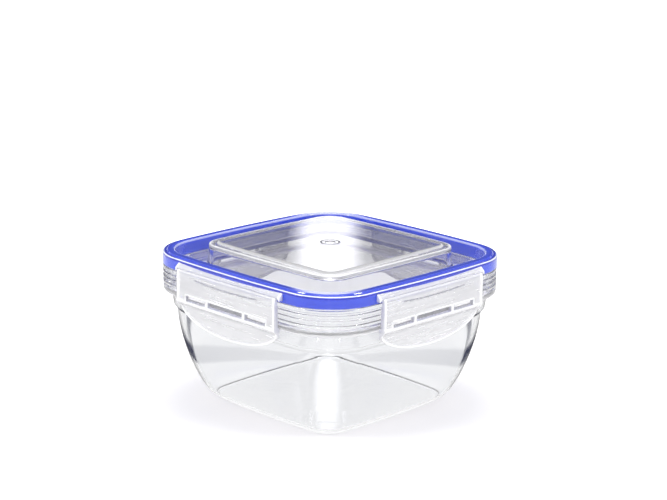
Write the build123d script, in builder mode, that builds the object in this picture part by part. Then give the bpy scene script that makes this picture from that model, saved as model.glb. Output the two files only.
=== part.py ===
"""Square storage container: a clear bowl, a clip-on lid with a blue rim, a seal and four latches."""

import os
from math import atan2, degrees, radians, sqrt, tan

from build123d import *

os.makedirs("parts", exist_ok=True)

# Overall sizes. A half is from the middle of the container to the middle of a side.
lid_half = 75.0
side_bow = 3.6
lid_corner = 30.0

# Bowl
foot_half = 48.2
base_half = 49.4
base_bow = 2.7
base_corner = 13.0
foot_height = 1.8
floor_thickness = 2.2
wall = 1.8
bowl_curve = 1.5
shoulder_inset = 5.2
shoulder_height = 54.5
shoulder_step = 1.9
shoulder_rise = 2.6
neck_inset = 4.6
neck_height = 7.9
collar_height = 15.0
collar_round = 4.2
collar_inset = 0.2
collar_grooves = 3
groove_height = 1.2
groove_depth = 1.2
groove_pitch = 2.7
groove_start = 6.3
lip_height = 3.4
lip_wall = 1.8

# Lid rim
rim_height = 7.2
skirt_wall = 1.6
skirt_gap = 0.4
skirt_clearance = 0.5
land_width = 7.0
shelf_width = 2.4
shelf_drop = 0.8
roof_thickness = 1.8
channel_wall = 1.6

# Clear panel
panel_depth = 7.6
panel_thickness = 2.0
edge_tongue = 0.8
edge_tongue_height = 0.6
plateau_half = 51.0
plateau_bow = 1.0
plateau_corner = 12.0
plateau_height = 10.5
plateau_draft = 0.8
plateau_ledge = 4.2
centre_rise = 1.2
gate_radius = 3.0
gate_ring = 5.0
gate_depth = 0.4

# Seal
seal_side_gap = 0.4
seal_gap = 0.3

# Latches. Outward sizes are from the middle of the container.
flap_half = 38.1
flap_thickness = 1.6
flap_clearance = 0.8
hinge_rise = 1.6
hinge_clearance = 0.4
latch_drop = 17.5
bar_height = 2.0
bar_reach = 1.0
bar_proud = 0.3
finger_drop = 13.5
finger_tuck = 3.1
finger_thickness = 1.5
bead = 1.6
bead_proud = 0.7
window_height = 3.1
window_middle = 26.8
window_side = 15.6
mullion = 2.0
edge_rib = 1.5
edge_rib_depth = 0.7
edge_rib_top = 3.4
smile_half = 25.0
smile_below_hinge = 2.6
smile_sag = 1.4
smile_width = 0.9
smile_depth = 0.6
strip_overhang = 2.3
strip_nose = 1.45
strip_slope = 40.0
strip_end = 1.9
strip_tongue = 0.9
strip_tongue_height = 1.2
strip_tongue_half = 33.0
strip_fit = 0.1

# Locking tabs on the bowl
tab_side_clearance = 1.1
tab_proud = 0.9
tab_bottom_slack = 0.6
tab_top_slack = 0.3
tab_slope = 31.0

# Places that follow from the sizes
shoulder_half = lid_half - shoulder_inset
neck_half = lid_half - neck_inset
collar_bottom = shoulder_height + neck_height
collar_top = collar_bottom + collar_height
skirt_bottom = collar_top + skirt_gap
rim_top = skirt_bottom + rim_height
shelf_top = rim_top - shelf_drop
roof_bottom = rim_top - roof_thickness
panel_top = rim_top - panel_depth
panel_bottom = panel_top - panel_thickness
edge_tongue_bottom = (panel_top + panel_bottom - edge_tongue_height) / 2
ledge_top = panel_top + plateau_height
lip_top = collar_top + lip_height
lip_inset = skirt_wall + skirt_clearance
channel_inset = land_width - channel_wall
seal_outside = skirt_wall + seal_side_gap
seal_inside = channel_inset - seal_side_gap
seal_bottom = lip_top + seal_gap
flap_inner = lid_half + flap_clearance
flap_outer = flap_inner + flap_thickness
hinge_out = flap_inner + flap_thickness / 2
hinge_height = skirt_bottom + hinge_rise
bar_bottom = hinge_height - latch_drop
bar_top = bar_bottom + bar_height
finger_outer = flap_outer - finger_tuck
finger_inner = finger_outer - finger_thickness
window_start = window_middle / 2 + mullion


def bowed_square(half, bow, corner, inset=0.0):
    """Square face with rounded corners and bowed sides, drawn inwards by an inset."""
    side_radius = (half**2 + bow**2) / (2 * bow)
    side_centre = side_radius - half
    reach = side_radius - corner
    corner_centre = (sqrt(2 * reach**2 - side_centre**2) - side_centre) / 2
    turn = degrees(atan2(corner_centre, corner_centre + side_centre))
    with BuildSketch() as outline:
        with BuildLine():
            for quarter in range(4):
                start = 90 * quarter
                side = Vector(-side_centre, 0).rotate(Axis.Z, start)
                bend = Vector(corner_centre, corner_centre).rotate(Axis.Z, start)
                CenterArc(side, side_radius - inset, start - turn, 2 * turn)
                CenterArc(bend, corner - inset, start + turn, 90 - 2 * turn)
        make_face()
    return outline.sketch


def lid_outline(inset=0.0):
    """Outline of the lid's rim, which the bowl's collar follows."""
    return bowed_square(lid_half, side_bow, lid_corner, inset)


def bowl_outline(half, inset=0.0):
    """Outline of the bowl where its half width is `half`: the corners tighten towards the base."""
    share = (half - base_half) / (lid_half - base_half)
    bow = base_bow + share * (side_bow - base_bow)
    corner = base_corner + share * (lid_corner - base_corner)
    return bowed_square(half, bow, corner, inset)


def plateau_outline(half):
    """Outline of the panel's raised middle."""
    return bowed_square(half, plateau_bow, plateau_corner - plateau_half + half)


def wall_half(share):
    """Half width of the bowl at a share of the way up from the foot to the shoulder step."""
    swell = (1 - (1 - share) ** bowl_curve) ** (1 / bowl_curve)
    return base_half + (shoulder_half - shoulder_step - base_half) * swell


# Height shares of the bowl's sections, closer together where the wall curves most
wall_shares = [0.0, 0.02, 0.08, 0.18, 0.34, 0.55, 0.78, 1.0]
step_bottom = shoulder_height - shoulder_rise

# Two locking tabs of one side, which reach out through a latch's side windows
tab_length = window_side - 2 * tab_side_clearance
tab_start = window_start + tab_side_clearance
tab_root = lid_half - lip_inset - lip_wall / 2
tab_tip = flap_inner + tab_proud
tab_low = bar_top + tab_bottom_slack
tab_high = bar_top + window_height - tab_top_slack
tab_outer_low = tab_low + (tab_tip - lid_half) * tan(radians(tab_slope))

with BuildPart() as tabs:
    with BuildSketch(Plane.YZ.offset(tab_start)):
        Polygon(
            (-tab_root, tab_low),
            (-lid_half, tab_low),
            (-tab_tip, tab_outer_low),
            (-tab_tip, tab_high),
            (-tab_root, tab_high),
            align=None,
        )
    extrude(amount=tab_length)
    mirror(about=Plane.YZ)

# Bowl: foot, curved wall, shoulder step, neck, ribbed collar and the lip that the lid closes on
with BuildPart() as bowl:
    with BuildSketch():
        add(bowl_outline(foot_half))
    extrude(amount=foot_height)
    for share in wall_shares:
        with BuildSketch(Plane.XY.offset(foot_height + share * (step_bottom - foot_height))):
            add(bowl_outline(wall_half(share)))
    loft()
    with BuildSketch(Plane.XY.offset(step_bottom)):
        add(bowl_outline(wall_half(1.0)))
    with BuildSketch(Plane.XY.offset(shoulder_height)):
        add(bowl_outline(shoulder_half))
    loft(ruled=True)
    with BuildSketch(Plane.XY.offset(shoulder_height)):
        add(bowl_outline(shoulder_half))
    with BuildSketch(Plane.XY.offset(collar_bottom)):
        add(bowl_outline(neck_half))
    loft(ruled=True)

    # Inside of the bowl
    for share in wall_shares:
        with BuildSketch(Plane.XY.offset(floor_thickness + share * (step_bottom - floor_thickness))):
            add(bowl_outline(wall_half(share), wall))
    loft(mode=Mode.SUBTRACT)
    with BuildSketch(Plane.XY.offset(step_bottom)):
        add(bowl_outline(wall_half(1.0), wall))
    with BuildSketch(Plane.XY.offset(shoulder_height)):
        add(bowl_outline(shoulder_half, wall))
    loft(ruled=True, mode=Mode.SUBTRACT)
    with BuildSketch(Plane.XY.offset(shoulder_height)):
        add(bowl_outline(shoulder_half, wall))
    with BuildSketch(Plane.XY.offset(collar_bottom)):
        add(bowl_outline(neck_half, wall))
    loft(ruled=True, mode=Mode.SUBTRACT)

# The collar is rounded underneath and ribbed outside
with BuildPart() as collar:
    with BuildSketch(Plane.XY.offset(collar_bottom)):
        add(lid_outline(collar_inset))
    extrude(amount=collar_height)
    fillet(collar.edges().group_by(Axis.Z)[0], collar_round)
    for groove in range(collar_grooves):
        with BuildSketch(Plane.XY.offset(collar_bottom + groove_start + groove * groove_pitch)):
            add(lid_outline(collar_inset))
            add(lid_outline(collar_inset + groove_depth), mode=Mode.SUBTRACT)
        extrude(amount=groove_height, mode=Mode.SUBTRACT)
    with BuildSketch(Plane.XY.offset(collar_top)):
        add(lid_outline(lip_inset))
    extrude(amount=lip_height)

    # Inside of the collar, which widens from the neck to the lip
    with BuildSketch(Plane.XY.offset(collar_bottom)):
        add(bowl_outline(neck_half, wall))
    with BuildSketch(Plane.XY.offset(collar_bottom + collar_round)):
        add(lid_outline(lip_inset + lip_wall))
    loft(ruled=True, mode=Mode.SUBTRACT)
    with BuildSketch(Plane.XY.offset(collar_bottom + collar_round)):
        add(lid_outline(lip_inset + lip_wall))
    extrude(amount=lip_top - collar_bottom - collar_round, mode=Mode.SUBTRACT)
    with PolarLocations(0, 4):
        add(tabs.part)

with BuildPart() as bowl_whole:
    add(bowl.part)
    add(collar.part)

bowl_whole.part.label = "bowl"
export_step(bowl_whole.part, "parts/bowl.step")


def tongue_band(depth, clearance):
    """Band just inside the rim's outer face on all four sides, for the strips' tongues and their slots."""
    with BuildPart() as band:
        with BuildSketch(Plane.XY.offset(hinge_height + strip_tongue_height - clearance)):
            add(lid_outline(-2 * strip_fit))
            add(lid_outline(depth), mode=Mode.SUBTRACT)
        extrude(amount=strip_tongue_height + 2 * clearance)
        with BuildSketch(Plane.XY.offset(skirt_bottom)):
            Rectangle(2 * (strip_tongue_half + clearance), 4 * lid_half)
            Rectangle(4 * lid_half, 2 * (strip_tongue_half + clearance))
        extrude(amount=rim_top - skirt_bottom, mode=Mode.INTERSECT)
    return band.part


# Blue rim: skirt, shelf and land outside, seal channel underneath, inner wall round the clear panel
with BuildPart() as lid_rim:
    with BuildSketch(Plane.XY.offset(skirt_bottom)):
        add(lid_outline())
    extrude(amount=shelf_top - skirt_bottom)
    fillet(lid_rim.edges().group_by(Axis.Z)[-1], skirt_wall / 2)
    with BuildSketch(Plane.XY.offset(shelf_top)):
        add(lid_outline(shelf_width))
    extrude(amount=shelf_drop)
    fillet(lid_rim.edges().group_by(Axis.Z)[-1], shelf_drop / 2)
    with BuildSketch(Plane.XY.offset(skirt_bottom)):
        add(lid_outline(land_width))
    extrude(amount=rim_top - skirt_bottom, mode=Mode.SUBTRACT)
    with BuildSketch(Plane.XY.offset(skirt_bottom)):
        add(lid_outline(skirt_wall))
        add(lid_outline(channel_inset), mode=Mode.SUBTRACT)
    extrude(amount=roof_bottom - skirt_bottom, mode=Mode.SUBTRACT)
    with BuildSketch(Plane.XY.offset(panel_bottom)):
        add(lid_outline(channel_inset))
        add(lid_outline(land_width), mode=Mode.SUBTRACT)
    extrude(amount=roof_bottom - panel_bottom)
    with BuildSketch(Plane.XY.offset(edge_tongue_bottom)):
        add(lid_outline(land_width - edge_tongue))
    extrude(amount=edge_tongue_height, mode=Mode.SUBTRACT)
    add(tongue_band(strip_tongue + strip_fit, strip_fit), mode=Mode.SUBTRACT)

lid_rim.part.label = "lid_rim"
export_step(lid_rim.part, "parts/lid_rim.step")

# Clear panel with its raised middle, keyed into the rim by a tongue round its edge
with BuildPart() as lid_panel:
    with BuildSketch(Plane.XY.offset(panel_bottom)):
        add(lid_outline(land_width))
    extrude(amount=panel_thickness)
    with BuildSketch(Plane.XY.offset(edge_tongue_bottom)):
        add(lid_outline(land_width - edge_tongue))
    extrude(amount=edge_tongue_height)
    with BuildSketch(Plane.XY.offset(panel_top)):
        add(plateau_outline(plateau_half + plateau_draft))
    with BuildSketch(Plane.XY.offset(ledge_top)):
        add(plateau_outline(plateau_half))
    loft(ruled=True)
    fillet(lid_panel.edges().group_by(Axis.Z)[-1], panel_thickness / 3)
    with BuildSketch(Plane.XY.offset(ledge_top)):
        add(plateau_outline(plateau_half - plateau_ledge))
    with BuildSketch(Plane.XY.offset(ledge_top + centre_rise)):
        add(plateau_outline(plateau_half - plateau_ledge - centre_rise))
    loft(ruled=True)

    # Hollow underneath, one panel thickness inside
    with BuildSketch(Plane.XY.offset(panel_bottom)):
        add(plateau_outline(plateau_half + plateau_draft - panel_thickness))
    with BuildSketch(Plane.XY.offset(ledge_top - panel_thickness)):
        add(plateau_outline(plateau_half - panel_thickness))
    loft(ruled=True, mode=Mode.SUBTRACT)
    with BuildSketch(Plane.XY.offset(ledge_top - panel_thickness)):
        add(plateau_outline(plateau_half - plateau_ledge - centre_rise / 2))
    with BuildSketch(Plane.XY.offset(ledge_top - panel_thickness + centre_rise)):
        add(plateau_outline(plateau_half - plateau_ledge - centre_rise * 3 / 2))
    loft(ruled=True, mode=Mode.SUBTRACT)

    # Round mark in the middle, left by the moulding gate
    with BuildSketch(Plane.XY.offset(ledge_top + centre_rise)):
        Circle(gate_ring)
        Circle(gate_ring - gate_depth, mode=Mode.SUBTRACT)
        Circle(gate_radius)
    extrude(amount=-gate_depth, mode=Mode.SUBTRACT)

lid_panel.part.label = "lid_panel"
export_step(lid_panel.part, "parts/lid_panel.step")

# Seal in the rim's channel, just above the bowl's lip
with BuildPart() as gasket:
    with BuildSketch(Plane.XY.offset(seal_bottom)):
        add(lid_outline(seal_outside))
        add(lid_outline(seal_inside), mode=Mode.SUBTRACT)
    extrude(amount=roof_bottom - seal_bottom)

gasket.part.label = "gasket"
export_step(gasket.part, "parts/gasket.step")

# Latch strip, drawn on the front side: a bevelled bar on the rim's skirt with square ends
strip_half = flap_half + strip_overhang
strip_bottom = hinge_height - hinge_clearance
nose_height = hinge_height + strip_nose
strip_root = lid_half - shelf_width
strip_top = nose_height + (hinge_out - strip_root) * tan(radians(strip_slope))

with BuildPart() as strip:
    with BuildSketch(Plane.YZ.offset(-strip_half)):
        Polygon(
            (-strip_root, strip_bottom),
            (-hinge_out, strip_bottom),
            (-hinge_out, nose_height),
            (-strip_root, strip_top),
            align=None,
        )
    extrude(amount=2 * strip_half)
    with Locations((0, -hinge_out, hinge_height)):
        Cylinder(
            flap_thickness / 2 + hinge_clearance,
            2 * (strip_half - strip_end),
            rotation=(0, 90, 0),
            mode=Mode.SUBTRACT,
        )
    with BuildSketch(Plane.XY.offset(skirt_bottom)):
        add(lid_outline(-strip_fit))
    extrude(amount=strip_top - skirt_bottom, mode=Mode.SUBTRACT)

with BuildPart() as strip_key:
    add(tongue_band(strip_tongue, 0.0))
    with BuildSketch(Plane.XY.offset(skirt_bottom)):
        with Locations((0, -lid_half)):
            Rectangle(2 * strip_half, lid_half)
    extrude(amount=rim_top - skirt_bottom, mode=Mode.INTERSECT)

# Latch flap, drawn on the front side: plate, edge ribs, locking bar and the tucked finger lip
with BuildPart() as flap:
    with BuildSketch(Plane.XZ.offset(flap_inner)):
        with Locations((0, (hinge_height + bar_bottom) / 2)):
            Rectangle(2 * flap_half, hinge_height - bar_bottom)
    extrude(amount=flap_thickness)
    with Locations((0, -hinge_out, hinge_height)):
        Cylinder(flap_thickness / 2, 2 * flap_half, rotation=(0, 90, 0))
    rib_height = hinge_height - edge_rib_top - bar_bottom
    with BuildSketch(Plane.XZ.offset(flap_inner - edge_rib_depth)):
        with Locations((flap_half - edge_rib / 2, bar_bottom + rib_height / 2)):
            Rectangle(edge_rib, rib_height)
        with Locations((edge_rib / 2 - flap_half, bar_bottom + rib_height / 2)):
            Rectangle(edge_rib, rib_height)
    extrude(amount=edge_rib_depth)
    with BuildSketch(Plane.XZ.offset(flap_inner - bar_reach)):
        with Locations((0, (bar_top + bar_bottom) / 2)):
            Rectangle(2 * flap_half, bar_height)
    extrude(amount=bar_reach + flap_thickness + bar_proud)

    # Finger lip, half an ellipse below the bar, with a bead round its edge
    with BuildSketch(Plane.XZ.offset(finger_inner)):
        with Locations((0, bar_bottom)):
            Ellipse(flap_half, finger_drop)
            with Locations((0, finger_drop)):
                Rectangle(3 * flap_half, 2 * finger_drop, mode=Mode.SUBTRACT)
    extrude(amount=finger_thickness)
    with BuildSketch(Plane.XZ.offset(finger_inner)):
        with Locations((0, bar_bottom)):
            Ellipse(flap_half, finger_drop)
            Ellipse(flap_half - bead, finger_drop - bead, mode=Mode.SUBTRACT)
            with Locations((0, finger_drop)):
                Rectangle(3 * flap_half, 2 * finger_drop, mode=Mode.SUBTRACT)
    extrude(amount=finger_thickness + bead_proud)
    with BuildSketch(Plane.XZ.offset(finger_inner)):
        with Locations((0, bar_bottom - finger_thickness / 2)):
            Rectangle(2 * flap_half - bead, finger_thickness)
    extrude(amount=flap_outer - finger_inner)

    # Windows: a wide one in the middle and one for a locking tab on each side
    with BuildSketch(Plane.XZ.offset(flap_inner - edge_rib_depth)):
        with Locations((0, bar_top + window_height / 2)):
            Rectangle(window_middle, window_height)
            with Locations((window_start + window_side / 2, 0)):
                Rectangle(window_side, window_height)
            with Locations((-window_start - window_side / 2, 0)):
                Rectangle(window_side, window_height)
    extrude(amount=2 * flap_thickness, mode=Mode.SUBTRACT)

    # Curved groove across the upper face
    with BuildSketch(Plane.XZ.offset(flap_outer - smile_depth)):
        with BuildLine():
            ThreePointArc(
                (-smile_half, hinge_height - smile_below_hinge),
                (0, hinge_height - smile_below_hinge - smile_sag),
                (smile_half, hinge_height - smile_below_hinge),
            )
            ThreePointArc(
                (smile_half, hinge_height - smile_below_hinge),
                (0, hinge_height - smile_below_hinge - smile_sag - smile_width),
                (-smile_half, hinge_height - smile_below_hinge),
            )
        make_face()
    extrude(amount=smile_depth, mode=Mode.SUBTRACT)

# One latch on each side
for side, turn in (("front", 0), ("right", 90), ("back", 180), ("left", 270)):
    with BuildPart() as latch_strip:
        add(strip.part, rotation=(0, 0, turn))
        add(strip_key.part, rotation=(0, 0, turn))
    latch_strip.part.label = f"latch_strip_{side}"
    export_step(latch_strip.part, f"parts/latch_strip_{side}.step")
    with BuildPart() as latch_flap:
        add(flap.part, rotation=(0, 0, turn))
    latch_flap.part.label = f"latch_flap_{side}"
    export_step(latch_flap.part, f"parts/latch_flap_{side}.step")
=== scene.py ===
from math import cos, radians, sin

import bmesh
import bpy
import numpy as np
from mathutils import Matrix, Vector


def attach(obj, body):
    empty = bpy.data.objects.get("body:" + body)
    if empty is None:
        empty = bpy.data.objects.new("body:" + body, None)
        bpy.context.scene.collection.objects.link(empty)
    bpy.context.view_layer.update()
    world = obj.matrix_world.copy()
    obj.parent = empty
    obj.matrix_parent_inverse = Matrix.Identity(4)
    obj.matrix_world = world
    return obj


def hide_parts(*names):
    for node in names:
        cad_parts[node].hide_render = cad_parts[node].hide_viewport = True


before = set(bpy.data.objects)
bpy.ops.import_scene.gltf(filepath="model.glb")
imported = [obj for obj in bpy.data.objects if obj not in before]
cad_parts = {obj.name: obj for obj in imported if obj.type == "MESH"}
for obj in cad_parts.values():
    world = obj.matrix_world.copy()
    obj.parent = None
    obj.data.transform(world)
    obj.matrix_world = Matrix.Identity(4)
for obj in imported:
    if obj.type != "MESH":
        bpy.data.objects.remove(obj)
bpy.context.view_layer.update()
scene = bpy.context.scene

# The bowl is one clear moulding: a flat foot, sides that curve up to a shoulder step, a ribbed
# collar that the lid rests on, a thin lip above it and two locking tabs under the collar on each side.
# It is injection moulded in clear plastic, polished inside and out.
mm = 0.001
lid_half = 75.0
side_bow = 3.6
lid_corner = 30.0
base_half = 49.4
base_bow = 2.7
base_corner = 13.0
foot_half = 48.2
foot_height = 1.8
foot_flat = 6.0
foot_flare = 0.2
floor_thickness = 2.2
floor_flat = 12.0
floor_round = 2.5
bowl_wall = 1.8
wall_rows = 44
swell_power = 1.5
step_bottom = 51.9
step_top = 54.5
step_half = 67.9
shoulder_half = 69.8
neck_half = 70.4
collar_bottom = 62.4
collar_top = 77.4
collar_half = 74.8
collar_round = 4.2
groove_bottoms = (68.7, 71.4, 74.1)
groove_height = 1.2
groove_depth = 1.2
lip_half = 72.9
lip_wall = 1.8
lip_top = 80.8
tab_start = 16.5
tab_length = 13.4
tab_root = 73.0
tab_nose = 75.0
tab_reach = 76.6
tab_bottom = 64.5
tab_slope_top = 65.46
tab_top = 66.7
tab_seam = 65.6
# How much painted highlight the tabs and the collar's foot take
tab_highlight = 0.9
collar_foot_highlight = 0.6
disc_radii = (6, 18, 30)
side_steps = 26
corner_steps = 30
weld_gap = 1e-6
sliver_gap = 1e-7


def bowed_square(half, bow, corner, inset=0.0):
    """Points round a square with bowed sides and rounded corners, drawn inwards by an inset.
    Each side is an arc whose sagitta is the bow and each corner an arc tangent to two sides."""
    sizes = (half, bow, corner, inset)
    half, bow, corner, inset = (np.atleast_1d(np.asarray(size, float))[:, None] for size in sizes)
    side_radius = (half**2 + bow**2) / (2 * bow)
    side_centre = side_radius - half
    reach = side_radius - corner
    corner_centre = (np.sqrt(2 * reach**2 - side_centre**2) - side_centre) / 2
    turn = np.arctan2(corner_centre, corner_centre + side_centre)
    along = np.linspace(-1, 1, side_steps, endpoint=False)[None, :]
    round_it = np.linspace(0, 1, corner_steps, endpoint=False)[None, :]
    side_angle = along * turn
    bend_angle = turn + round_it * (np.pi / 2 - 2 * turn)
    x = np.hstack([(side_radius - inset) * np.cos(side_angle) - side_centre,
                   corner_centre + (corner - inset) * np.cos(bend_angle)])
    y = np.hstack([(side_radius - inset) * np.sin(side_angle),
                   corner_centre + (corner - inset) * np.sin(bend_angle)])
    return np.stack([np.hstack([x, -y, -x, y]), np.hstack([y, x, -y, -x])], axis=-1)


def lid_ring(half):
    """Rings parallel to the lid's outline, for an array of half widths."""
    return bowed_square(np.full_like(half, lid_half), side_bow, lid_corner, lid_half - half)


def bowl_ring(half):
    """Rings of the bowl, whose bow and corners grow with the half width from the base to the lid."""
    share = (half - base_half) / (lid_half - base_half)
    corner = base_corner + share * (lid_corner - base_corner)
    return bowed_square(half, base_bow + share * (side_bow - base_bow), corner)


def rounded(points, radii, steps=5):
    """A profile with its corners turned into arcs, with one radius for each corner between the ends. Each
    arc is a spherical interpolation between its two tangent points about the corner's centre, with one
    support point on the straight at each end. A radius shrinks where a straight is too short for it."""
    support = 0.25
    points, radii = np.asarray(points, float), np.asarray(radii, float)
    before, here, after = points[:-2], points[1:-1], points[2:]
    back, ahead = before - here, after - here
    back_length, ahead_length = np.linalg.norm(back, axis=1), np.linalg.norm(ahead, axis=1)
    back, ahead = back / back_length[:, None], ahead / ahead_length[:, None]
    half_angle = np.arccos(np.clip((back * ahead).sum(1), -0.9999, 0.9999)) / 2
    radius = np.minimum(radii, 0.45 * np.minimum(back_length, ahead_length) * np.tan(half_angle))
    reach = radius / np.tan(half_angle)
    middle = back + ahead + 1e-6 * back[:, ::-1] * [-1, 1]
    middle = middle / np.linalg.norm(middle, axis=1)[:, None]
    centre = here + middle * (radius / np.sin(half_angle))[:, None]
    start, end = here + back * reach[:, None], here + ahead * reach[:, None]
    spread = (np.pi - 2 * half_angle)[:, None, None]
    t = np.linspace(0, 1, steps + 1)[None, :, None]
    arc = centre[:, None] + (np.sin((1 - t) * spread) * (start - centre)[:, None]
                             + np.sin(t * spread) * (end - centre)[:, None]) / np.sin(spread)
    lead = np.minimum(support, 0.25 * (back_length - reach))[:, None]
    tail = np.minimum(support, 0.25 * (ahead_length - reach))[:, None]
    rows = np.concatenate([(start + back * lead)[:, None], arc, (end + ahead * tail)[:, None]], axis=1)
    return np.concatenate([points[:1], rows.reshape(-1, 2), points[-1:]])


def band(value, middle, width):
    """A soft band across a value: a bell curve that is 1 at the middle and falls off over the width."""
    return np.exp(-((value - middle) / width) ** 2)


def quarter_turns(points, turns):
    """Points turned about the upright axis by a number of quarter turns."""
    return points @ np.array(Matrix.Rotation(radians(90 * turns), 3, "Z")).T


def solid_mesh(name, points, faces, finish, haze_and_painted_light=None):
    """A closed mesh in metres from points in millimetres, its faces turned outwards by the sign of its
    volume. If haze and painted light values are given, they are kept as a value at each point for the
    finish to read: the plastic's own haze, painted highlights and painted shade, as each finish sets out."""
    mesh = bpy.data.meshes.new(name)
    mesh.from_pydata((np.asarray(points) * mm).tolist(), [], faces)
    if haze_and_painted_light is not None:
        values = np.asarray(haze_and_painted_light, np.float32).ravel()
        mesh.attributes.new("haze_and_painted_light", "FLOAT", "POINT").data.foreach_set("value", values)
    work = bmesh.new()
    work.from_mesh(mesh)
    bmesh.ops.remove_doubles(work, verts=work.verts, dist=weld_gap)
    bmesh.ops.dissolve_degenerate(work, edges=work.edges, dist=sliver_gap)
    if work.calc_volume(signed=True) < 0:
        bmesh.ops.reverse_faces(work, faces=work.faces)
    work.to_mesh(mesh)
    work.free()
    mesh.shade_smooth()
    mesh.materials.append(finish)
    piece = bpy.data.objects.new(name, mesh)
    scene.collection.objects.link(piece)
    return piece


def net_faces(rows, columns, first=0, wrap_rows=False):
    """Quads of a net of points, row after row, closed round its columns and, if asked, round its rows."""
    i = np.arange(rows if wrap_rows else rows - 1)[:, None]
    left = np.arange(columns)[None, :]
    right = (left + 1) % columns
    here, below = i * columns, (i + 1) % rows * columns
    quads = np.stack([here + left, here + right, below + right, below + left], axis=-1)
    return (quads.reshape(-1, 4) + first).tolist()


def cap_faces(rows, columns, first=0):
    """Triangles from the first and the last row of a net to their poles, the two points after the net."""
    j = np.arange(columns)
    ahead = (j + 1) % columns
    last = (rows - 1) * columns
    start = np.stack([ahead, j, np.full(columns, rows * columns)], axis=-1)
    end = np.stack([last + j, last + ahead, np.full(columns, rows * columns + 1)], axis=-1)
    return (np.vstack([start, end]) + first).tolist()


def lifted(rings, heights):
    """Rings of x and y as points, each ring at its own height."""
    heights = np.broadcast_to(np.asarray(heights, float)[:, None, None], rings.shape[:2] + (1,))
    return np.concatenate([rings, heights], axis=-1)


def shell(rings, heights):
    """Points and faces of a closed body: rings of x and y, each at its height, with a pole at either end."""
    net = lifted(rings, heights)
    count, columns = net.shape[:2]
    poles = np.array([[0, 0, net[0, 0, 2]], [0, 0, net[-1, 0, 2]]])
    points = np.vstack([net.reshape(-1, 3), poles])
    return points, net_faces(count, columns) + cap_faces(count, columns)


def disc_rows(ring, radii):
    """Circles inside a ring, with their points in the same directions as the ring's."""
    direction = ring / np.linalg.norm(ring, axis=-1, keepdims=True)
    return direction[None] * np.asarray(radii, float)[:, None, None]


class Wire:
    """An output of a shader node. Arithmetic on it adds Math nodes."""

    def __init__(self, finish, socket):
        self.finish, self.socket = finish, socket

    def math(self, operation, first, second):
        return self.finish.node("ShaderNodeMath", {"operation": operation}, {0: first, 1: second})

    def __add__(self, other):
        return self.math("ADD", self, other)

    def __radd__(self, other):
        return self.math("ADD", other, self)

    def __sub__(self, other):
        return self.math("SUBTRACT", self, other)

    def __rsub__(self, other):
        return self.math("SUBTRACT", other, self)

    def __mul__(self, other):
        return self.math("MULTIPLY", self, other)

    def __rmul__(self, other):
        return self.math("MULTIPLY", other, self)

    def __truediv__(self, other):
        return self.math("DIVIDE", self, other)

    def __rtruediv__(self, other):
        return self.math("DIVIDE", other, self)

    def __abs__(self):
        return self.math("ABSOLUTE", self, 0.0)

    def root(self):
        return self.math("SQRT", self, 0.0)

    def either(self, other):
        """The larger of two wires."""
        return self.math("MAXIMUM", self, other)


class Finish:
    """The node tree of a surface or of the surroundings, built with node() and arithmetic on wires."""

    def __init__(self, owner):
        owner.use_nodes = True
        self.tree = owner.node_tree
        self.tree.nodes.clear()

    def node(self, kind, settings=None, inputs=None, output=0):
        """One node: its settings first, then its sockets, each from a wire or a plain value."""
        made = self.tree.nodes.new(kind)
        settings = dict(settings or {})
        stops = settings.pop("stops", None)
        for key, value in settings.items():
            setattr(made, key, value)
        if stops:
            ramp = made.color_ramp.elements
            while len(ramp) < len(stops):
                ramp.new(0.5)
            for element, (place, colour) in zip(ramp, stops):
                element.position, element.color = place, colour
        for key, value in (inputs or {}).items():
            if isinstance(value, Wire):
                self.tree.links.new(value.socket, made.inputs[key])
            else:
                made.inputs[key].default_value = value
        return Wire(self, made.outputs[output]) if len(made.outputs) else None

    def ease(self, value, low, high, start=0.0, end=1.0):
        """A smooth step from start to end as the value goes from low to high."""
        return self.node("ShaderNodeMapRange", {"interpolation_type": "SMOOTHSTEP"},
                         {"Value": value, "From Min": low, "From Max": high, "To Min": start, "To Max": end})

    def place(self):
        """Object coordinates, in metres."""
        return self.node("ShaderNodeTexCoord", output="Object")

    def haze_and_painted_light(self):
        """The value kept at each point by solid_mesh."""
        return self.node("ShaderNodeAttribute", {"attribute_name": "haze_and_painted_light"}, output="Fac")

    def ray(self, kind):
        """What the Light Path node says of the ray that is being followed."""
        return self.node("ShaderNodeLightPath", output=kind)

    def noise(self, where, scale, detail, roughness=0.5):
        return self.node("ShaderNodeTexNoise", None,
                         {"Vector": where, "Scale": scale, "Detail": detail, "Roughness": roughness})

    def bump(self, height, distance, strength):
        return self.node("ShaderNodeBump", None,
                         {"Height": height, "Distance": distance, "Strength": strength})

    def colours(self, share, first, second):
        """The first colour where the share is 0 and the second where it is 1."""
        return self.node("ShaderNodeMix", {"data_type": "RGBA"}, {0: share, 6: first, 7: second}, output=2)

    def shaders(self, share, first, second):
        """The first shader where the share is 0 and the second where it is 1."""
        return self.node("ShaderNodeMixShader", None, {0: share, 1: first, 2: second})

    def plastic(self, inputs):
        return self.node("ShaderNodeBsdfPrincipled", None, inputs)

    def surface(self, shader):
        self.node("ShaderNodeOutputMaterial", None, {"Surface": shader})


def let_lamps_through(finish, shader, tint):
    """Lets lamp light and scattered light through as a plain tint, so that clear pieces cast a light
    shadow. Every other ray meets the shader."""
    film = finish.node("ShaderNodeBsdfTransparent", None, {"Color": tint})
    lamp_light = finish.ray("Is Shadow Ray").either(finish.ray("Is Diffuse Ray"))
    finish.surface(finish.shaders(lamp_light, shader, film))


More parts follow.
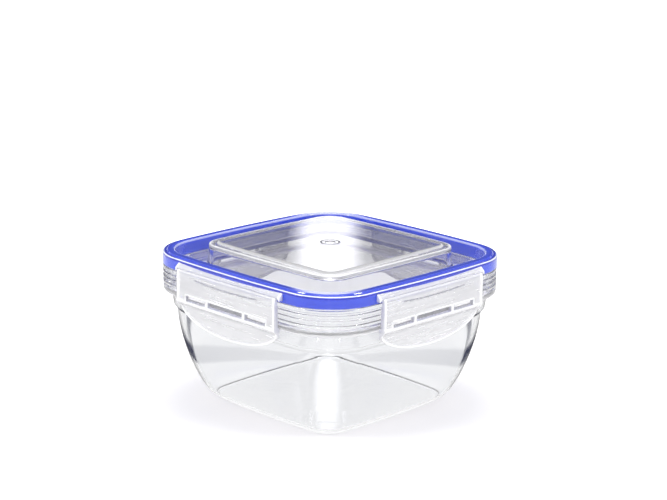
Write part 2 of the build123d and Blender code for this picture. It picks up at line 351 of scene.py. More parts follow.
def clear_plastic(name, tint):
    """Clear polished plastic: full transmission, faint mould waviness and the odd smear in the gloss.
    Where the attribute is above 0, it turns white satin: a painted highlight."""
    material = bpy.data.materials.new(name)
    finish = Finish(material)
    where = finish.place()
    waviness = finish.noise(where, 22.0, 2.0)
    smears = finish.noise(where, 60.0, 4.0, 0.6)
    clear = finish.plastic({
        "Base Color": tint, "Roughness": finish.ease(smears, 0.55, 0.75, 0.012, 0.04), "IOR": 1.52,
        "Transmission Weight": 0.98, "Normal": finish.bump(waviness, 0.0004, 0.12)})
    # The white satin is a painted highlight.
    white_satin_highlight = finish.plastic({
        "Base Color": (0.97, 0.97, 0.98, 1), "Roughness": 0.4, "IOR": 1.52, "Transmission Weight": 0.2})
    shader = finish.shaders(finish.haze_and_painted_light(), clear, white_satin_highlight)
    let_lamps_through(finish, shader, (0.82, 0.815, 0.83, 1))
    return material


# Outside of the bowl from the foot up, over the lip and down the inside to the floor
rise = np.linspace(0, 1, wall_rows)
swell = (1 - (1 - rise) ** swell_power) ** (1 / swell_power)
wall_half = base_half + (step_half - base_half) * swell
outer_wall = np.column_stack([wall_half, foot_height + rise * (step_bottom - foot_height)])
inner_wall = np.column_stack([wall_half - bowl_wall,
                              floor_thickness + rise * (step_bottom - floor_thickness)])
foot_profile = rounded([(foot_half - foot_flat, 0), (foot_half, 0), (foot_half + foot_flare, foot_height),
                        (base_half, foot_height)], [0.8, 0.3])
ribs = [(collar_half, collar_bottom)]
for groove in groove_bottoms:
    ribs += [(collar_half, groove), (collar_half - groove_depth, groove),
             (collar_half - groove_depth, groove + groove_height), (collar_half, groove + groove_height)]
collar_profile = rounded(
    [(step_half - 0.1, step_bottom - 2), (step_half, step_bottom), (shoulder_half, step_top),
     (neck_half, collar_bottom)]
    + ribs
    + [(collar_half, collar_top), (lip_half, collar_top), (lip_half, lip_top), (lip_half - lip_wall, lip_top),
       (lip_half - lip_wall, collar_bottom + collar_round), (neck_half - bowl_wall, collar_bottom),
       (shoulder_half - bowl_wall, step_top), (step_half - bowl_wall, step_bottom),
       (step_half - bowl_wall - 0.1, step_bottom - 2)],
    [0.8, 0.8, 1.2, collar_round] + [0.3, 0.2, 0.2, 0.3] * len(groove_bottoms)
    + [0.4, 0.3, 0.7, 0.5, 1.5, 1.5, 0.8, 0.8])[1:-1]
floor_profile = rounded([tuple(inner_wall[2]), (base_half - bowl_wall - 1.0, floor_thickness),
                         (base_half - floor_flat, floor_thickness)], [floor_round])
profile = np.vstack([foot_profile, outer_wall[1:-1], collar_profile, inner_wall[-2:2:-1], floor_profile])
rings = bowl_ring(profile[:, 0])
parallel = lid_ring(profile[:, 0])
blend = np.clip((profile[:, 1] - step_top) / (collar_bottom + collar_round - step_top), 0, 1)[:, None, None]
rings = rings * (1 - blend) + parallel * blend
foot_disc, floor_disc = disc_rows(rings[0], disc_radii), disc_rows(rings[-1], disc_radii[::-1])
rings = np.concatenate([foot_disc, rings, floor_disc])
discs = len(disc_radii)
heights = np.concatenate([np.zeros(discs), profile[:, 1], np.full(discs, floor_thickness)])
points, faces = shell(rings, heights)

# The locking tabs hang from the collar's underside and reach out through the latches' side windows
tab_section = rounded([(tab_root, tab_seam), (tab_root, tab_bottom), (tab_nose, tab_bottom),
                       (tab_reach, tab_slope_top), (tab_reach, tab_top), (tab_root, tab_top),
                       (tab_root, tab_seam)], [0.1, 0.3, 0.3, 0.4, 0.1], steps=3)[:-1]
tab_end = np.array([0.0, 0.25, 0.6, 1.0])
tab_end_shrink = np.array([0.45, 0.12, 0.02, 0.0])
tab_along = np.concatenate([tab_end, tab_length - tab_end[::-1]])
tab_shrink = np.concatenate([tab_end_shrink, tab_end_shrink[::-1]])[:, None, None]
section = tab_section + (tab_section.mean(axis=0) - tab_section) * tab_shrink
tabs_from = len(points)
for turn in range(4):
    for start in (tab_start, -tab_start - tab_length):
        x = np.broadcast_to(start + tab_along[:, None], section.shape[:2])
        net = np.stack([x, -section[..., 0], section[..., 1]], axis=-1)
        ends = np.array([net[0].mean(axis=0), net[-1].mean(axis=0)])
        first = len(points)
        count, columns = net.shape[:2]
        points = np.vstack([points, quarter_turns(net.reshape(-1, 3), turn), quarter_turns(ends, turn)])
        faces += net_faces(count, columns, first) + cap_faces(count, columns, first)
# Painted highlights: white satin on the tabs and in a band along the collar's foot
on_tab = np.arange(len(points)) >= tabs_from
under_collar = band(points[:, 2], collar_bottom + 0.6, 1.0)
bowl = solid_mesh("bowl_shell", points, faces, clear_plastic("clear_bowl_finish", (0.955, 0.96, 0.97, 1)),
                  np.where(on_tab, tab_highlight, collar_foot_highlight * under_collar))
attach(bowl, "bowl")
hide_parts("bowl")

# The lid's middle is a clear panel, sunk below the rim, with a tall raised square that stiffens it and
# lines up the next container. It is moulded first, and the blue rim is moulded round its edge.
panel_top = 77.4
panel_thickness = 2.0
panel_bottom = panel_top - panel_thickness
panel_half = 67.97
raised_half = 51.0
raised_bow = 1.0
raised_corner = 12.0
raised_draft = 0.8
raised_top = 87.9
raised_under = raised_top - panel_thickness
ledge_half = raised_half - 4.2
centre_rise = 1.2
centre_top = raised_top + centre_rise
centre_under = centre_top - panel_thickness
disc_half = 20
square_from = 40.0
moat_start = raised_half + 8
moat_end = panel_half - 4
gate_core = 3.0
gate_ring = 5.2
gate_bottom = centre_top - 0.3
gate_edge = 12.0
# How much painted highlight the raised square's folds take, and how far down from its top
fold_highlight = 0.75
fold_reach = 1.4


def panel_ring(half):
    """Rings of the panel: the raised middle's outline inside, the lid's outline near the edge."""
    inner = bowed_square(half, raised_bow, raised_corner - raised_half + half)
    return np.where((half > raised_half + 4)[:, None, None], lid_ring(half), inner)


def finer(profile, step):
    """The same profile with extra points, so that none of its straights is longer than the step."""
    run = np.diff(profile, axis=0)
    pieces = np.ceil(np.linalg.norm(run, axis=1) / step).astype(int)
    order = np.arange(pieces.sum()) - np.repeat(np.cumsum(pieces) - pieces, pieces)
    share = order[:, None] * np.repeat(run / pieces[:, None], pieces, axis=0)
    return np.vstack([np.repeat(profile[:-1], pieces, axis=0) + share, profile[-1:]])


panel_profile = rounded(
    [(disc_half, centre_top), (ledge_half - centre_rise, centre_top), (ledge_half, raised_top),
     (raised_half, raised_top), (raised_half + raised_draft, panel_top), (moat_start, panel_top),
     (moat_end, panel_top), (panel_half, panel_top), (panel_half, panel_bottom), (moat_end, panel_bottom),
     (moat_start, panel_bottom), (raised_half - panel_thickness + raised_draft, panel_bottom),
     (raised_half - panel_thickness, raised_under), (ledge_half - 0.6, raised_under),
     (ledge_half - 1.8, centre_under), (disc_half, centre_under)],
    [0.35, 0.35, 0.7, 0.6, 0.3, 0.3, 0.2, 0.2, 0.3, 0.3, 0.5, 1.5, 0.4, 0.4], steps=6)
panel_profile = finer(panel_profile, 1.2)
rings = panel_ring(np.maximum(panel_profile[:, 0], square_from))
near_middle = panel_profile[:, 0] < disc_half + 10
rings[near_middle] = disc_rows(rings[0], panel_profile[near_middle, 0])
gate_profile = rounded([(0.3, gate_bottom), (gate_core - 0.4, gate_bottom), (gate_core, centre_top),
                        (gate_ring - 0.5, centre_top), (gate_ring - 0.2, gate_bottom),
                        (gate_ring + 0.1, gate_bottom), (gate_ring + 0.4, centre_top),
                        (gate_edge, centre_top)], [0.1] * 6, steps=3)
gate_rings = disc_rows(rings[0], gate_profile[:, 0])
under_rings = disc_rows(rings[0], [gate_edge, 6.0, 2.0])
rings = np.concatenate([gate_rings, rings, under_rings])
heights = np.concatenate([gate_profile[:, 1], panel_profile[:, 1], np.full(3, centre_under)])
points, faces = shell(rings, heights)
# Painted highlight: white satin along the raised square's top edge and the ledge's fold
width = np.concatenate([gate_profile[:, 0], panel_profile[:, 0], np.zeros(3)])
fold = band(width, raised_half - 0.5, 0.7) + band(width, ledge_half - 0.6, 0.6)
fold = np.clip(fold_highlight * fold * (heights > raised_top - fold_reach), 0, 1)
panel_highlight = np.concatenate([np.repeat(fold, rings.shape[1]), np.zeros(2)])
panel = solid_mesh("lid_panel_clear", points, faces,
                   clear_plastic("clear_panel_finish", (0.94, 0.935, 0.95, 1)), panel_highlight)
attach(panel, "lid")
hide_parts("lid_panel")

# The rim is moulded in see-through blue plastic round the clear panel. Outside it has a straight skirt
# over the bowl's collar, on top a low shelf and a raised land, and underneath a channel for the seal.
rim_bottom = 77.8
rim_top = 85.0
rim_seam = 80
rim_wall = 1.6
shelf_top = 84.2
shelf_width = 2.4
land_start = 2.8
land_width = 7.0
channel_top = 83.2
# Places and widths of the rim's painted shade lines and painted highlights
skirt_line, skirt_line_width = 83.3, 0.45
shelf_line, shelf_line_width = 1.7, 0.6
land_line, land_line_width = 3.9, 0.8
shelf_edge, land_edge, edge_width = 0.5, 6.8, 0.4
dark_foot_top, dark_foot_run = 78.4, 2.0
rim_profile = rounded(
    [(0.0, rim_seam), (0.0, shelf_top), (shelf_width, shelf_top), (land_start, rim_top),
     (land_width, rim_top), (land_width, panel_bottom), (land_width - rim_wall, panel_bottom),
     (land_width - rim_wall, channel_top), (rim_wall, channel_top), (rim_wall, rim_bottom),
     (0.0, rim_bottom), (0.0, rim_seam)],
    [0.7, 0.3, 0.35, 0.9, 0.3, 0.3, 0.3, 0.3, 0.2, 0.3], steps=7)
rim_profile = finer(rim_profile, 0.5)[:-1]


def lid_loop(profile):
    """Points and faces of a loop: a closed profile of insets and heights, carried round the lid's outline."""
    net = lifted(lid_ring(lid_half - profile[:, 0]), profile[:, 1])
    return net.reshape(-1, 3), net_faces(*net.shape[:2], wrap_rows=True)


def blue_plastic():
    """See-through blue plastic: coloured transmission over a little cloudy body colour, polished. It is
    painted dark blue where the attribute is above 0, a painted shade, and pale where it is below 0, a
    painted highlight."""
    material = bpy.data.materials.new("blue_rim_finish")
    finish = Finish(material)
    where = finish.place()
    cloud = finish.noise(where, 35.0, 3.0)
    haze_and_painted_light = finish.haze_and_painted_light()
    tone = finish.colours(cloud, (0.075, 0.15, 0.93, 1), (0.12, 0.2, 1.0, 1))
    # The dark blue, (0.0, 0.006, 0.36), is painted shade.
    blue = finish.plastic({
        "Base Color": finish.colours(haze_and_painted_light, tone, (0.0, 0.006, 0.36, 1)),
        "Roughness": finish.ease(cloud, 0.4, 0.8, 0.02, 0.05), "IOR": 1.5, "Transmission Weight": 0.62,
        "Coat Weight": 0.8, "Normal": finish.bump(finish.noise(where, 30.0, 2.0), 0.0003, 0.08)})
    # A painted highlight: a pale gloss where the attribute is below 0.
    pale_highlight = finish.plastic({
        "Base Color": (0.9, 0.92, 1.0, 1), "Roughness": 0.15, "IOR": 1.5, "Coat Weight": 0.8})
    shader = finish.shaders(0.0 - haze_and_painted_light, blue, pale_highlight)
    let_lamps_through(finish, shader, (0.3, 0.35, 0.85, 1))
    return material


# Painted shade: dark lines along the shelf, the land and the top of the skirt, and a dark inner wall's
# foot. Painted highlights: pale lines along the shelf's outer edge and the land's inner edge.
points, faces = lid_loop(rim_profile)
inset, level = rim_profile[:, 0], rim_profile[:, 1]
on_top = level > 83.8
on_skirt = inset < 0.05
on_inner_wall = inset > 6.5
deep_shade = (band(level, skirt_line, skirt_line_width) * on_skirt
        + 0.9 * band(inset, shelf_line, shelf_line_width) * on_top
        + 0.5 * band(inset, land_line, land_line_width) * on_top
        + np.clip((dark_foot_top - level) / dark_foot_run, 0, 1) * on_inner_wall)
pale_highlight = (band(inset, shelf_edge, edge_width) * (level > 83.7)
        + 0.35 * band(inset, land_edge, edge_width) * (level > 84))
rim_shade_and_highlight = np.repeat(np.clip(deep_shade - 1.5 * pale_highlight, -1, 1), len(points) // len(rim_profile))
rim = solid_mesh("lid_rim_blue", points, faces, blue_plastic(), rim_shade_and_highlight)
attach(rim, "lid")
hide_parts("lid_rim")

# The seal is a soft pale ring pressed into the rim's channel, with a rounded underside for the bowl's
# lip. It is moulded in rubber, and its profile is given as insets from the lid's outline and heights.
seal_profile = rounded([(2.0, 82), (2.0, 83.15), (5.0, 83.15), (5.0, 81.6), (4.2, 81.1), (2.8, 81.1),
                        (2.0, 81.6), (2.0, 82)], [0.2, 0.2, 0.5, 0.5, 0.5, 0.5], steps=4)[:-1]


def soft_rubber():
    """Soft pale rubber with a fine matt grain."""
    material = bpy.data.materials.new("seal_finish")
    finish = Finish(material)
    grain = finish.noise(finish.place(), 2500.0, 2.0)
    finish.surface(finish.plastic({
        "Base Color": (0.8, 0.81, 0.82, 1), "Roughness": finish.ease(grain, 0.3, 0.7, 0.5, 0.65), "IOR": 1.41,
        "Subsurface Weight": 0.3, "Subsurface Scale": 0.003, "Normal": finish.bump(grain, 0.00003, 0.4)}))
    return material


points, faces = lid_loop(seal_profile)
seal = solid_mesh("lid_seal", points, faces, soft_rubber())
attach(seal, "lid")
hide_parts("gasket")

# Each latch hangs from a strip: a straight bar with a sloping top, snapped into the rim's skirt, with a
# round groove underneath for the latch's barrel. Strip and latch are natural frosted plastic.
sides = ("front", "right", "back", "left")
strip_half = 40.4
strip_end = 1.9
strip_lap = 0.1
strip_foot = 79.0
strip_slope = radians(40)
strip_bevel = 0.15
strip_haze = 0.15
strip_columns = 41
groove_rows = 9
hinge_out = 76.6
hinge_height = 79.4
groove_radius = 1.2
groove_start = np.pi + 0.34
nose_height = 80.85
filled_from = 75.5


def frosted_plastic():
    """Natural frosted plastic: cloudy and half see-through with faint flow streaks. It is milk white where
    the attribute is above 0, the plastic's own haze at low values and a painted highlight at higher ones,
    and grey where it is below 0, a painted shade."""
    material = bpy.data.materials.new("latch_finish")
    finish = Finish(material)
    where = finish.place()
    stretched = finish.node("ShaderNodeMapping", None, {"Vector": where, "Scale": (1.0, 1.0, 14.0)})
    streaks = finish.noise(stretched, 45.0, 4.0, 0.6)
    grain = finish.noise(where, 900.0, 3.0, 0.6)
    haze_and_painted_light = finish.haze_and_painted_light()
    tone = finish.colours(finish.ease(streaks, 0.35, 0.65), (0.86, 0.86, 0.875, 1), (0.93, 0.93, 0.94, 1))
    # Its grey, (0.45, 0.45, 0.48), is painted shade.
    see_through_frost = finish.plastic({
        "Base Color": finish.colours(0.0 - haze_and_painted_light, tone, (0.45, 0.45, 0.48, 1)),
        "Roughness": finish.ease(streaks, 0.3, 0.7, 0.16, 0.3), "IOR": 1.49, "Transmission Weight": 0.6,
        "Normal": finish.bump(grain, 0.00002, 0.2)})
    # Milk white: a little of it is the plastic's own haze, the rest a painted highlight.
    milky = finish.plastic({
        "Base Color": (0.94, 0.94, 0.95, 1), "Roughness": finish.ease(grain, 0.3, 0.7, 0.22, 0.32),
        "IOR": 1.49, "Normal": finish.bump(grain, 0.00002, 0.2)})
    let_lamps_through(finish, finish.shaders(haze_and_painted_light, see_through_frost, milky), (0.8, 0.8, 0.81, 1))
    return material


def skirt_out(x):
    """How far out the skirt's bowed face is at a distance x from the middle of its side."""
    side_radius = (lid_half**2 + side_bow**2) / (2 * side_bow)
    return np.sqrt(side_radius**2 - x**2) - side_radius + lid_half


def strip_net():
    """The strip's section carried along its side: the root follows the skirt, the groove is an arc about
    the hinge, filled in at both ends, and the top slopes from the nose up to the root."""
    inner_half = strip_half - strip_end
    x = np.concatenate([[-strip_half, -strip_half + 0.3], np.linspace(-inner_half, inner_half, strip_columns),
                        [strip_half - 0.3, strip_half]])
    root = skirt_out(x) + strip_lap
    crest = nose_height + (hinge_out - root) * np.tan(strip_slope)
    angle = np.linspace(groove_start, np.pi / 2, groove_rows)
    groove = np.column_stack([hinge_out + groove_radius * np.cos(angle),
                              hinge_height + groove_radius * np.sin(angle)])
    filled = np.column_stack([np.linspace(filled_from, hinge_out, groove_rows),
                              np.full(groove_rows, strip_foot)])
    middle = np.where((np.abs(x) <= inner_half + 1e-6)[:, None, None], groove, filled)
    nose = np.array([[hinge_out, nose_height - 0.3], [hinge_out - 0.06, nose_height - 0.12],
                     [hinge_out - 0.2, nose_height + 0.05]])
    nose = np.broadcast_to(nose, (len(x),) + nose.shape)
    top = np.stack([root, crest], axis=-1)[:, None]
    slope = nose[:, -1:] + (top - nose[:, -1:]) * np.array([0.25, 0.5, 0.75, 0.96])[None, :, None]
    edge = top + np.array([0.0, -0.12])
    foot = np.stack([root, np.full_like(root, strip_foot)], axis=-1)[:, None]
    section = np.concatenate([foot, middle, nose, slope, edge], axis=1)
    x = np.broadcast_to(x[:, None], section.shape[:2])
    return np.stack([x, -section[..., 0], section[..., 1]], axis=-1)


def soften_edges(piece, width, angle):
    """A small live bevel, its width in millimetres, on the edges sharper than the angle in degrees."""
    bevel = piece.modifiers.new("soft edges", "BEVEL")
    bevel.width, bevel.segments = width * mm, 2
    bevel.limit_method, bevel.angle_limit = "ANGLE", radians(angle)


frosted = frosted_plastic()
net = strip_net()
count, columns = net.shape[:2]
strip_points = np.vstack([net.reshape(-1, 3), net[0].mean(axis=0), net[-1].mean(axis=0)])
strip_faces = net_faces(count, columns) + cap_faces(count, columns)
# Painted highlight: milk white at the strip's ends. Elsewhere only the plastic's own haze.
at_end = np.abs(strip_points[:, 0]) > strip_half - 0.6
strip_haze_and_highlight = np.where(at_end, 1.0, strip_haze)
for turn, side in enumerate(sides):
    strip = solid_mesh(f"hinge_strip_{side}", quarter_turns(strip_points, turn), strip_faces, frosted,
                       strip_haze_and_highlight)
    soften_edges(strip, strip_bevel, 50)
    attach(strip, "lid")
    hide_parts(f"latch_strip_{side}")

# The latch itself is one plate: a barrel along its top, a curved groove, three windows over the locking
# bar and a finger lip that tucks in below it and ends in a rounded bead. The bar catches under the
# bowl's tabs. It is moulded in one piece in the strip's frosted plastic.
flap_half = 38.1
flap_inner = 75.8
flap_outer = 77.4
flap_bevel = 0.22
flap_haze = 0.05
barrel_radius = 0.8
bar_bottom = 61.9
bar_top = 63.9
bar_middle = (bar_top + bar_bottom) / 2
bar_proud = 0.3
bar_reach = 1.0
bar_hook_half = 1.01
side_cut = 0.7
side_cut_top = 76.0
side_proud = 0.25
window_top = 67.0
window_middle = 13.4
window_start = 15.4
window_end = 31.0
window_frame = 1.1
lip_drop = 13.5
lip_tuck = 3.1
lip_thicken = 0.1
tuck_top, tuck_run = 63.6, 4.6
bead_width = 1.6
bead_proud = 0.7
smile_half = 25.0
smile_height = 76.7
smile_sag = 1.0
smile_width = 0.32
smile_depth = 0.45
corner_width = 1.5
row_step = 0.16


def ramp(value, low, high):
    """A smooth step from 0 at low to 1 at high."""
    t = np.clip((value - low) / (high - low), 0, 1)
    return t * t * (3 - 2 * t)


def latch_plate():
    """The latch as two depth surfaces over one net of points: columns across it, rows from the barrel
    down to the bar and then, as shares of a half ellipse, down to the lip's edge. Also its haze with
    painted highlights and painted shade at each point, and which cells of the net are kept, which leaves
    the windows open."""
    corner_start = flap_half - corner_width
    edges = np.array([window_middle, window_start, window_end, corner_start])
    round_corner = flap_half - corner_width * (1 - np.sin(np.linspace(0, np.pi / 2, 10)))
    half_columns = np.concatenate([np.linspace(0, corner_start, 60), edges, edges - 0.15, round_corner])
    half_columns = np.unique(np.round(np.clip(half_columns, 0, flap_half), 3))
    columns = np.concatenate([-half_columns[:0:-1], half_columns])
    barrel = hinge_height + barrel_radius * np.sin(np.linspace(np.pi / 2, 0, 8))
    rows = np.concatenate([barrel, np.arange(79.2, 67.3, -row_step),
                           [window_top + 0.12, window_top, window_top - 0.3, 65.8, 64.6, bar_top + 0.1,
                            bar_top, bar_top - 0.15, 63.3, 62.8, 62.4, bar_bottom + 0.12]])
    share = np.concatenate([np.linspace(0, 0.86, 26)[1:], np.linspace(0.87, 1, 16)])[:, None]
    ellipse = np.sqrt(np.clip(1 - (columns / flap_half) ** 2, 0, 1))
    z = np.vstack([np.repeat(rows[:, None], len(columns), axis=1), bar_bottom - share * lip_drop * ellipse])
    x = np.broadcast_to(columns, z.shape)
    beside = np.abs(x)

    # Depth: the plate, its tuck under the bar, and the barrel's round above the hinge's height
    tuck = lip_tuck * ramp(tuck_top - z, 0.0, tuck_run)
    barrel_out = np.sqrt(np.clip(barrel_radius**2 - np.clip(z - hinge_height, 0, None) ** 2, 0, None))
    outer = np.where(z > hinge_height, hinge_out + barrel_out, flap_outer - tuck)
    inner = np.where(z > hinge_height, hinge_out - barrel_out, flap_inner - tuck * (1 - lip_thicken))

    # The curved groove, the locking bar, the cut-away sides and the bead round the lip
    smile = smile_height - smile_sag * (1 - (x / smile_half) ** 2)
    groove = band(z, smile, smile_width) * ramp(smile_half + 0.5 - beside, 0.0, 3.0)
    outer = outer - smile_depth * groove
    bar_swell = ramp(z, bar_bottom - 0.6, bar_bottom + 0.4) * ramp(-z, -bar_top - 0.3, -bar_top + 0.3)
    outer = outer + bar_proud * bar_swell
    inner = inner - bar_reach * (np.abs(z - bar_middle) < bar_hook_half)
    at_side = ramp(beside, flap_half - 1.65, corner_start) * (z < side_cut_top) * (z > bar_bottom)
    inner = inner - side_cut * at_side
    side_rise = ramp(beside, flap_half - 1.7, flap_half - 1.0) * ramp(-z, -78.5, -77.0)
    outer = outer + side_proud * side_rise * (z > bar_bottom)
    steepness = lip_drop / flap_half * x / flap_half / np.clip(ellipse, 0.05, 1)
    from_edge = (z - (bar_bottom - lip_drop * ellipse)) / np.sqrt(1 + steepness**2)
    outer = outer + bead_proud * ramp(bead_width - from_edge, 0.0, 0.7) * (z <= bar_bottom)

    # Painted highlights, milk white, along the bar, the edges, the bead, the windows' frames and the
    #     barrel's top, over the plate's own haze, and painted shade, grey, in the curved groove
    bar = ramp(z, bar_bottom - 0.5, bar_bottom) * ramp(-z, -bar_top - 0.5, -bar_top)
    side_edge = ramp(beside, flap_half - 1.9, flap_half - 1.4) * (z > bar_bottom - 0.5)
    lip_edge = ramp(bead_width + 0.1 - from_edge, 0.0, 0.4) * (z <= bar_bottom)
    from_middle = np.maximum(beside - window_middle, 0)
    outer_middle, outer_half = (window_start + window_end) / 2, (window_end - window_start) / 2
    from_outer = np.maximum(np.abs(beside - outer_middle) - outer_half, 0)
    from_window = np.hypot(np.minimum(from_middle, from_outer), np.maximum(z - window_top, 0))
    frame_white = ramp(window_frame - from_window, 0.0, 0.3) * (z > bar_top - 0.2)
    top_edge = ramp(z, hinge_height - 0.3, hinge_height + 0.3)
    haze_and_painted_light = flap_haze + bar + side_edge + lip_edge + 0.85 * frame_white + 0.4 * top_edge - 1.1 * groove

    cell_x = np.abs((columns[:-1] + columns[1:]) / 2)
    cell_z = (z[:-1, :-1] + z[1:, :-1]) / 2
    window = (cell_x < window_middle) | ((cell_x > window_start) & (cell_x < window_end))
    kept = ~(window & (cell_z < window_top) & (cell_z > bar_top))
    return x, z, outer, inner, np.clip(haze_and_painted_light, -1, 1), kept


def plate_faces(kept):
    """Faces of a plate: its front, its back and a wall along each edge that only one kept cell uses."""
    rows, columns = kept.shape[0] + 1, kept.shape[1] + 1
    i, j = np.nonzero(kept)
    corner = i * columns + j
    front = np.stack([corner, corner + 1, corner + columns + 1, corner + columns], axis=-1)
    edges = np.concatenate([front[:, [0, 1]], front[:, [1, 2]], front[:, [2, 3]], front[:, [3, 0]]])
    _, place, uses = np.unique(np.sort(edges, axis=1), axis=0, return_index=True, return_counts=True)
    start, end = edges[place[uses == 1]].T
    back = rows * columns
    walls = np.stack([end, start, start + back, end + back], axis=-1)
    return np.concatenate([front, front[:, ::-1] + back, walls]).tolist()


x, z, outer, inner, flap_haze_and_light, kept = latch_plate()
flap_points = np.stack([[x, -outer, z], [x, -inner, z]]).transpose(0, 2, 3, 1).reshape(-1, 3)
flap_faces = plate_faces(kept)
for turn, side in enumerate(sides):
    flap = solid_mesh(f"latch_{side}", quarter_turns(flap_points, turn), flap_faces, frosted,
                      np.tile(flap_haze_and_light.ravel(), 2))
    soften_edges(flap, flap_bevel, 55)
    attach(flap, f"latch_{side}")
    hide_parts(f"latch_flap_{side}")

# The table is plain and white, with some light added for the camera so that it stays white and the shadow
# stays soft. Clear and glossy pieces show a narrow dark stripe on it at either side, which draws the edges
# of clear plastic, and a slightly brighter patch in front.
table_half = 3.0
sideways = (0.7071, 0.7071, 0)
forwards = (0.7071, -0.7071, 0)
white = (1, 1, 1, 1)
black = (0.012, 0.016, 0.06, 1)
table_white = (0.85, 0.845, 0.84, 1)
glow_near, glow_far = 0.09, 0.45
near_glow = (0.22, 0.22, 0.22, 1)
stripe_start, stripe_end = (0.094, 0.1), (0.118, 0.128)
stripe_reach = (0.24, 0.3)
patch_half = (0.012, 0.02)
patch_start = (0.12, 0.16)
patch_white = (1.25, 1.25, 1.25, 1)


class Studio(Finish):
    """The node tree of a part of the studio."""

    def reach(self, vector, direction):
        """How far a vector reaches along a direction."""
        return self.node("ShaderNodeVectorMath", {"operation": "DOT_PRODUCT"}, {0: vector, 1: direction},
                         output="Value")

    def light(self, kind, colour, strength=1.0):
        return self.node(kind, None, {"Color": colour, "Strength": strength})


table_mesh = bpy.data.meshes.new("table_top")
table_corners = [(-table_half, -table_half, 0), (table_half, -table_half, 0),
                 (table_half, table_half, 0), (-table_half, table_half, 0)]
table_mesh.from_pydata(table_corners, [], [(0, 1, 2, 3)])
table_top = bpy.data.objects.new("table_top", table_mesh)
scene.collection.objects.link(table_top)
table_paint = bpy.data.materials.new("table_paint")
paint = Studio(table_paint)
spot = paint.place()
across = abs(paint.reach(spot, sideways))
away = paint.node("ShaderNodeVectorMath", {"operation": "LENGTH"}, {0: spot}, output="Value")
stripe = (paint.ease(across, *stripe_start) * paint.ease(across, *stripe_end, 1.0, 0.0)
          * paint.ease(away, *stripe_reach, 1.0, 0.0))
patch = paint.ease(across, *patch_half, 1.0, 0.0) * paint.ease(paint.reach(spot, forwards), *patch_start)
lit = paint.node("ShaderNodeBsdfDiffuse", None, {"Color": table_white})
glow_colour = paint.colours(paint.ease(away, glow_near, glow_far), near_glow, white)
glow = paint.light("ShaderNodeEmission", glow_colour)
seen_table = paint.node("ShaderNodeAddShader", None, {0: lit, 1: glow})
plain_table = paint.shaders(paint.ray("Is Camera Ray"), lit, seen_table)
shown_white = paint.light("ShaderNodeEmission", paint.colours(patch, white, patch_white))
shown_table = paint.shaders(stripe, shown_white, paint.light("ShaderNodeEmission", black))
in_plastic = paint.ray("Is Glossy Ray").either(paint.ray("Is Transmission Ray"))
paint.surface(paint.shaders(in_plastic, plain_table, shown_table))
table_mesh.materials.append(table_paint)

# The room is white to the camera. Clear and glossy pieces show dark boards low at both sides, a grey wall
# higher up, a strip of light straight ahead and behind, and a white ceiling. Turned is 0 straight ahead or
# behind and 1 at either side, and height is the upward part of the direction.
wall_grey = (0.4, 0.41, 0.47, 1)
wall_dark = (0.12, 0.125, 0.16, 1)
strip_white = (2.0, 2.0, 2.1, 1)
soft_white = (0.98, 0.985, 1.0, 1)
soft_strength = 0.45
board_stops = [(0.34, white), (0.38, black), (0.62, black), (0.66, white)]
wall_start = (0.1, 0.16)
ceiling_start = (0.5, 0.62)
dark_turn = (0.1, 0.2)
strip_turn = (0.008, 0.024)
strip_top = (0.4, 0.5)
world = bpy.data.worlds.new("white_room")
scene.world = world
room = Studio(world)
toward = room.node("ShaderNodeTexCoord", output="Generated")
side_way, fore_way = room.reach(toward, sideways), room.reach(toward, forwards)
height = room.reach(toward, (0, 0, 1))
turned = abs(side_way) / (side_way * side_way + fore_way * fore_way + 0.0001).root()
boards = room.node("ShaderNodeValToRGB", {"stops": board_stops}, {"Fac": turned})
walls = room.colours(room.ease(turned, *dark_turn), wall_dark, wall_grey)
dome = room.colours(room.ease(height, *wall_start), boards, walls)
dome = room.colours(room.ease(height, *ceiling_start), dome, white)
strip_light = (room.ease(turned, *strip_turn, 1.0, 0.0) * room.ease(height, *wall_start)
               * room.ease(height, *strip_top, 1.0, 0.0))
dome = room.colours(strip_light, dome, strip_white)
shown_room = room.light("ShaderNodeBackground", dome)
soft_room = room.light("ShaderNodeBackground", soft_white, soft_strength)
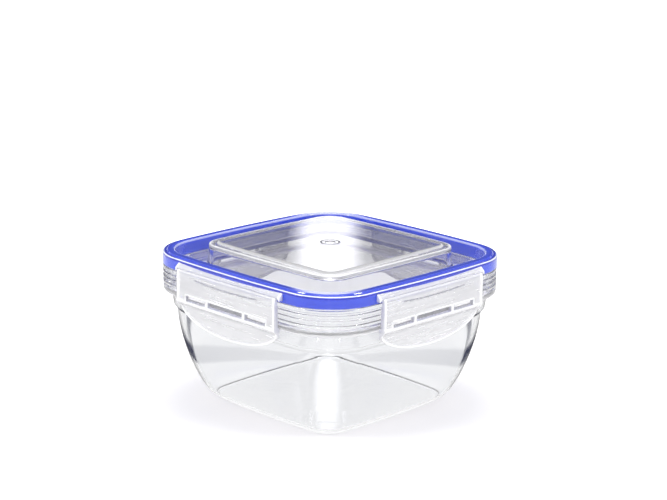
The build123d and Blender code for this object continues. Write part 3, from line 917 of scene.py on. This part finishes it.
lighting = room.shaders(room.ray("Is Diffuse Ray"), shown_room, soft_room)
backdrop = room.light("ShaderNodeBackground", white)
seen_room = room.shaders(room.ray("Is Camera Ray"), lighting, backdrop)
room.node("ShaderNodeOutputWorld", None, {0: seen_room})

# Three soft square lamps, one overhead and two in front, each with its place and side in metres and its
# power in watts. All of them point at the middle of the part.
lamps = (("overhead_lamp", (-0.1, 0.1, 1.2), 0.55, 6.5), ("left_lamp", (-0.35, -1.0, 0.7), 0.35, 7.0),
         ("right_lamp", (1.0, 0.35, 0.7), 0.35, 7.0))
lamp_aim = Vector((0, 0, 0.05))
for name, place, size, power in lamps:
    lamp = bpy.data.lights.new(name, "AREA")
    lamp.shape, lamp.size, lamp.energy = "SQUARE", size, power
    lamp_object = bpy.data.objects.new(name, lamp)
    scene.collection.objects.link(lamp_object)
    lamp_object.location = place
    lamp_object.rotation_euler = (lamp_aim - Vector(place)).to_track_quat("-Z", "Y").to_euler()

# The camera stands at the photograph's angle: turned 45 degrees to the front and 17 degrees above it.
# Its aim is moved a little right and up, by pan and tilt in metres, as the photograph is framed.
azimuth, elevation, roll = radians(44.92), radians(16.97), radians(0.78)
distance = 0.9787
part_middle = Vector((0, 0, 0.045))
lens, sensor_width = 95.24, 36.0
pan, tilt = 0.0024, 0.0383
back = Vector((sin(azimuth) * cos(elevation), -cos(azimuth) * cos(elevation), sin(elevation)))
right = Vector((cos(azimuth), sin(azimuth), 0))
up = back.cross(right)
right, up = right * cos(roll) + up * sin(roll), up * cos(roll) - right * sin(roll)
eye = part_middle + back * distance
aim = part_middle + right * pan + up * tilt
view_back = (eye - aim).normalized()
view_right = up.cross(view_back).normalized()
view_up = view_back.cross(view_right)
camera_data = bpy.data.cameras.new("camera")
camera_data.lens, camera_data.sensor_width = lens, sensor_width
camera = bpy.data.objects.new("camera", camera_data)
scene.collection.objects.link(camera)
camera.matrix_world = Matrix((view_right, view_up, view_back)).transposed().to_4x4()
camera.location = eye
scene.camera = camera
scene.view_settings.view_transform = "Standard"
